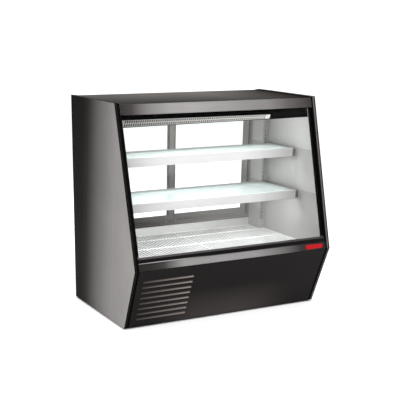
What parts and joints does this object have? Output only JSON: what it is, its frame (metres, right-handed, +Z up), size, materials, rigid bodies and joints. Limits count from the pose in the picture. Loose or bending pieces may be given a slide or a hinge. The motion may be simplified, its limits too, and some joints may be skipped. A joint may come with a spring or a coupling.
{
  "type": "refrigerated deli case",
  "caption": "Floor-standing refrigerated display case with a leaning glass front, lit glass shelves, wire deck and sliding glass rear doors.",
  "frame": {"origin": "middle of the footprint, on the floor", "axes": "+X to the customer's right, +Y to the operator's rear side, +Z up"},
  "size_m": [1.27, 0.8259, 1.198],
  "materials": {
    "panel_black": "satin",
    "panel_core": "matte",
    "sheet_black": "satin",
    "fascia_metal": "satin",
    "foam_panel": "matte",
    "grille_metal": "satin",
    "lamp_white": "satin",
    "clear_glass": "gloss",
    "shelf_glass": "gloss",
    "gasket_black": "satin",
    "badge_red": "gloss",
    "screw_steel": "satin",
    "stainless": "satin",
    "white_metal": "satin",
    "rack_wire": "gloss",
    "grey_aluminium": "satin",
    "door_aluminium": "satin",
    "fin_aluminium": "satin",
    "galvanised": "satin",
    "motor_black": "satin",
    "compressor_black": "satin",
    "copper": "satin",
    "pvc_white": "satin",
    "box_grey": "matte",
    "cord_black": "matte",
    "control_black": "satin",
    "rocker_black": "gloss",
    "button_grey": "satin",
    "fan_plastic": "satin",
    "roller_nylon": "satin",
    "foot_steel": "satin"
  },
  "bodies": {
    "case": {"badge_plate": "badge_red", "base_frame": "galvanised", "bumper_fascia": "fascia_metal", "canopy_ceiling": "foam_panel", "canopy_light": "lamp_white", "compressor": "compressor_black", "condensate_pan": "stainless", "condenser_coil": "fin_aluminium", "condenser_shroud": "galvanised", "controller": "roller_nylon", "drain_tube": "pvc_white", "duct_panel": "sheet_black", "electrical_box": "box_grey", "end_panel_cores": "panel_core", "end_panel_left": "panel_black", "end_panel_right": "panel_black", "evaporator_bulkhead": "stainless", "evaporator_coil": "fin_aluminium", "fan_motors": "motor_black", "floor_racks": "rack_wire", "front_glass": "clear_glass", "glass_gaskets": "gasket_black", "header_fascia": "fascia_metal", "kick_panel": "sheet_black", "lower_shelf_frame": "white_metal", "lower_shelf_glass": "shelf_glass", "panel_screws": "screw_steel", "power_cord": "cord_black", "rear_door_frame": "grey_aluminium", "rear_panel": "sheet_black", "refrigerant_lines": "copper", "shelf_brackets": "white_metal", "shelf_standards": "stainless", "side_liners": "stainless", "slot_grille": "grille_metal", "switch_housing": "control_black", "top_panel": "sheet_black", "tub_insulation": "foam_panel", "tub_liner": "stainless", "upper_shelf_frame": "white_metal", "upper_shelf_glass": "shelf_glass"},
    "door_left": {"left_door_frame": "door_aluminium", "left_door_glass": "clear_glass"},
    "door_right": {"right_door_frame": "door_aluminium", "right_door_glass": "clear_glass"},
    "roller_left_a": {"left_door_roller_a": "roller_nylon"},
    "roller_left_b": {"left_door_roller_b": "roller_nylon"},
    "roller_right_a": {"right_door_roller_a": "roller_nylon"},
    "roller_right_b": {"right_door_roller_b": "roller_nylon"},
    "evaporator_fan_left": {"evaporator_fan_left": "fan_plastic"},
    "evaporator_fan_right": {"evaporator_fan_right": "fan_plastic"},
    "condenser_fan": {"condenser_fan": "fin_aluminium"},
    "light_switch": {"light_switch": "rocker_black"},
    "button_up": {"button_up": "button_grey"},
    "button_down": {"button_down": "button_grey"},
    "button_set": {"button_set": "button_grey"},
    "foot_front_left": {"foot_front_left": "foot_steel"},
    "foot_front_right": {"foot_front_right": "foot_steel"},
    "foot_rear_left": {"foot_rear_left": "foot_steel"},
    "foot_rear_right": {"foot_rear_right": "foot_steel"}
  },
  "joints": [
    {"name": "left_door_slide", "type": "slide", "parent": "case", "child": "door_left", "axis": [1, 0, 0], "range_m": [0, 0.542]},
    {"name": "left_roller_a_spin", "type": "hinge", "parent": "door_left", "child": "roller_left_a", "pos_m": [-0.503, 0.373, 0.422], "axis": [0, 1, 0], "range_deg": [0, 3120]},
    {"name": "left_roller_b_spin", "type": "hinge", "parent": "door_left", "child": "roller_left_b", "pos_m": [-0.039, 0.373, 0.422], "axis": [0, 1, 0], "range_deg": [0, 3120]},
    {"name": "right_door_slide", "type": "slide", "parent": "case", "child": "door_right", "axis": [-1, 0, 0], "range_m": [0, 0.542]},
    {"name": "right_roller_a_spin", "type": "hinge", "parent": "door_right", "child": "roller_right_a", "pos_m": [0.039, 0.393, 0.422], "axis": [0, -1, 0], "range_deg": [0, 3120]},
    {"name": "right_roller_b_spin", "type": "hinge", "parent": "door_right", "child": "roller_right_b", "pos_m": [0.503, 0.393, 0.422], "axis": [0, -1, 0], "range_deg": [0, 3120]},
    {"name": "evaporator_fan_left_spin", "type": "hinge", "parent": "case", "child": "evaporator_fan_left", "pos_m": [-0.2, -0.106, 0.302], "axis": [0, 1, 0], "continuous": true},
    {"name": "evaporator_fan_right_spin", "type": "hinge", "parent": "case", "child": "evaporator_fan_right", "pos_m": [0.2, -0.106, 0.302], "axis": [0, 1, 0], "continuous": true},
    {"name": "condenser_fan_spin", "type": "hinge", "parent": "case", "child": "condenser_fan", "pos_m": [-0.425, -0.19, 0.122], "axis": [0, 1, 0], "continuous": true},
    {"name": "light_switch_rock", "type": "hinge", "parent": "case", "child": "light_switch", "pos_m": [0.27, 0.399, 0.165], "axis": [-1, 0, 0], "range_deg": [0, 16]},
    {"name": "button_up_press", "type": "slide", "parent": "case", "child": "button_up", "axis": [0, -1, 0], "range_m": [0, 0.001]},
    {"name": "button_down_press", "type": "slide", "parent": "case", "child": "button_down", "axis": [0, -1, 0], "range_m": [0, 0.001]},
    {"name": "button_set_press", "type": "slide", "parent": "case", "child": "button_set", "axis": [0, -1, 0], "range_m": [0, 0.001]},
    {"name": "foot_front_left_level", "type": "slide", "parent": "case", "child": "foot_front_left", "axis": [0, 0, 1], "range_m": [-0.015, 0]},
    {"name": "foot_front_right_level", "type": "slide", "parent": "case", "child": "foot_front_right", "axis": [0, 0, 1], "range_m": [-0.015, 0]},
    {"name": "foot_rear_left_level", "type": "slide", "parent": "case", "child": "foot_rear_left", "axis": [0, 0, 1], "range_m": [-0.015, 0]},
    {"name": "foot_rear_right_level", "type": "slide", "parent": "case", "child": "foot_rear_right", "axis": [0, 0, 1], "range_m": [-0.015, 0]}
  ],
  "couplings": [
    {"joint": "left_roller_a_spin", "follows": "left_door_slide", "rad_per_m": 100},
    {"joint": "left_roller_b_spin", "follows": "left_door_slide", "rad_per_m": 100},
    {"joint": "right_roller_a_spin", "follows": "right_door_slide", "rad_per_m": 100},
    {"joint": "right_roller_b_spin", "follows": "right_door_slide", "rad_per_m": 100}
  ]
}
